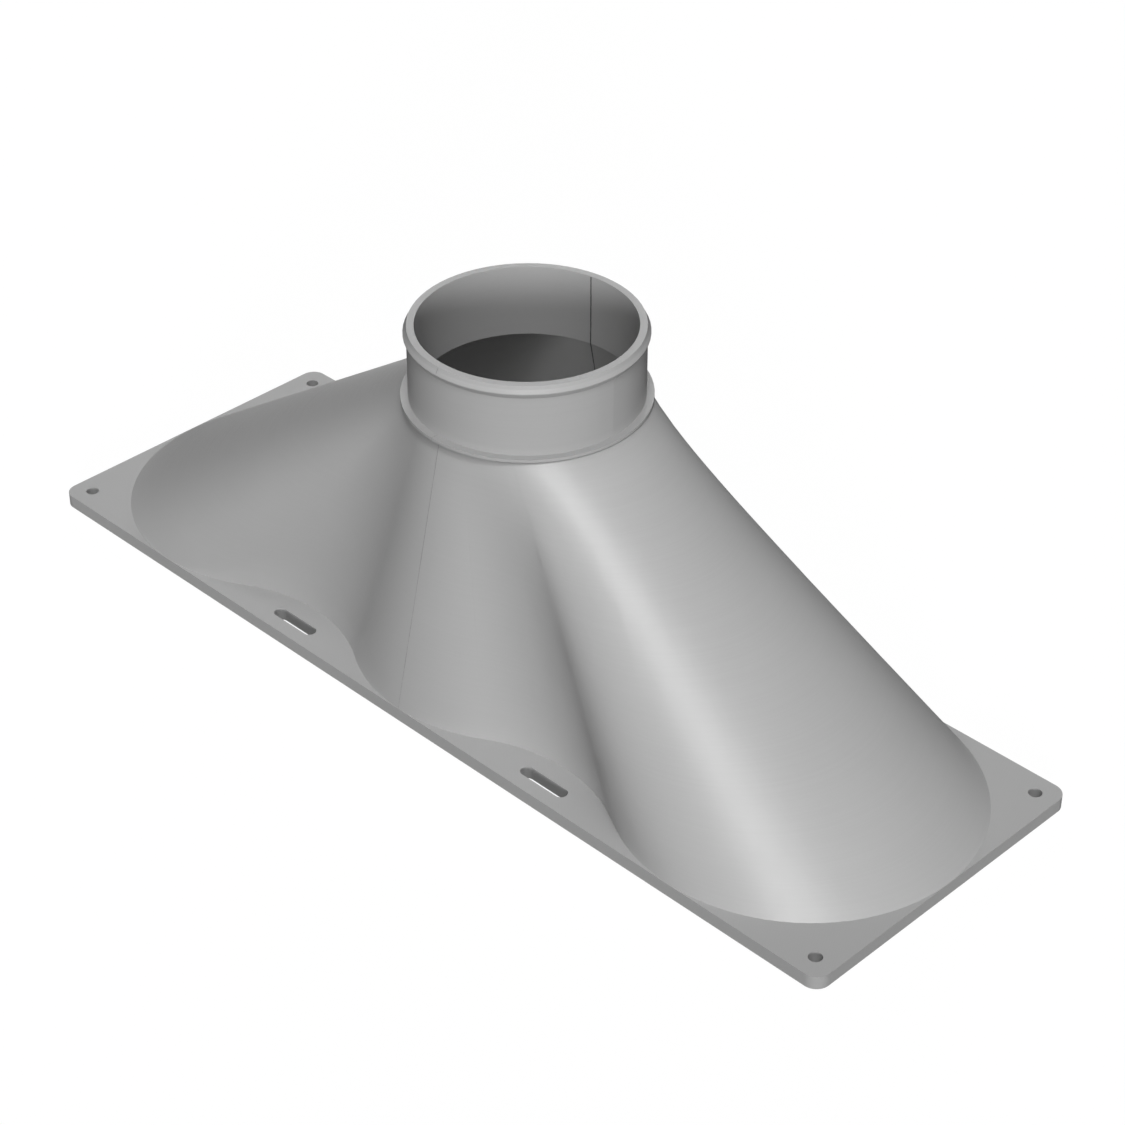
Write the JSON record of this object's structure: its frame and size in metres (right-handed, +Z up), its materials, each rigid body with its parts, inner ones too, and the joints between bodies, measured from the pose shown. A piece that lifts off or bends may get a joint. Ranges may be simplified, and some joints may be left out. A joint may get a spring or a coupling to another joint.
{
  "type": "fan duct adapter",
  "caption": "Flanged adapter that gathers a row of axial fans through a smooth lobed funnel into one round hose collar.",
  "frame": {"origin": "centre of the flange's underside", "axes": "+X along the row of fans, +Y across it, +Z up through the collar"},
  "size_m": [0.36, 0.12, 0.125],
  "materials": {
    "printed_plastic": "satin"
  },
  "bodies": {
    "root": {"duct_adapter": "printed_plastic"}
  },
  "joints": []
}
